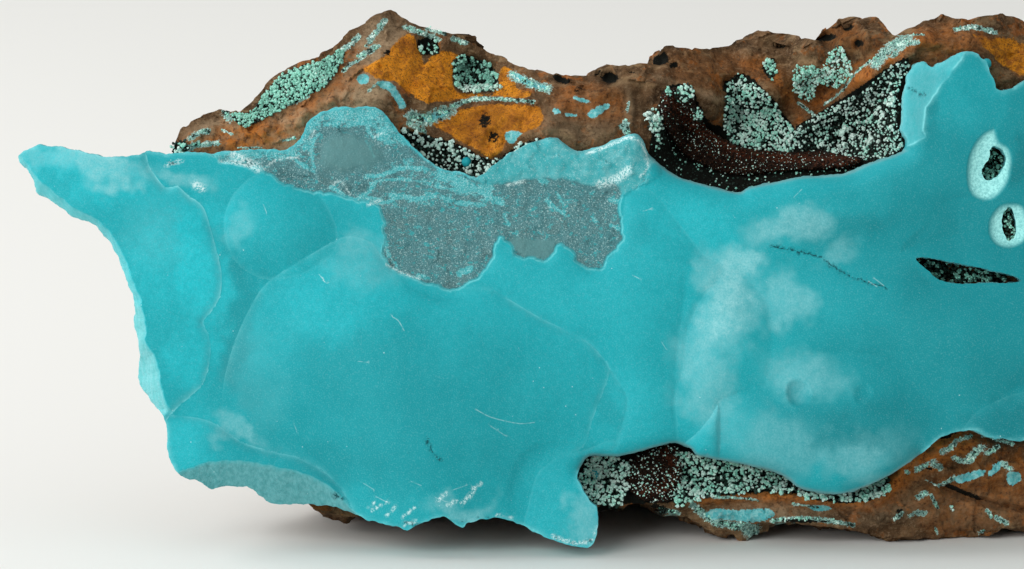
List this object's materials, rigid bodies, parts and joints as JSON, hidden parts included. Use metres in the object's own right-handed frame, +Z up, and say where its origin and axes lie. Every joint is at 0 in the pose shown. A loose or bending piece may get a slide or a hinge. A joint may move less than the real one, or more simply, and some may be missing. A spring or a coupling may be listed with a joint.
{
  "type": "rosasite specimen",
  "caption": "Turquoise rosasite crust of low rounded lobes on a brown limonite matrix with crystal-lined pockets, standing on a flat cut.",
  "frame": {"origin": "centre of the box that holds the specimen, on the surface that it stands on", "axes": "+X along the longest side, towards the end with the two ring openings; -Y towards the viewer of the turquoise face; +Z up"},
  "size_m": [0.1144, 0.0478, 0.0522],
  "materials": {
    "rosasite": "satin, velvety turquoise with pale frosted patches",
    "limonite": "rough brown and ochre iron oxide with thin green veins",
    "goethite": "dark red-brown, velvety",
    "green_crystal": "granular pale green and white crystals on black"
  },
  "bodies": {
    "root": {"limonite_matrix": "limonite", "rosasite_crust": "rosasite", "goethite_roll": "goethite", "goethite_lump": "goethite", "upper_pocket_druse": "green_crystal", "upper_ledge_druse": "green_crystal", "lower_pocket_druse": "green_crystal", "notch_druse": "green_crystal", "slope_druse": "green_crystal", "vug_druse": "green_crystal", "slit_druse": "green_crystal", "upper_ring_druse": "green_crystal", "lower_ring_druse": "green_crystal"}
  },
  "joints": []
}
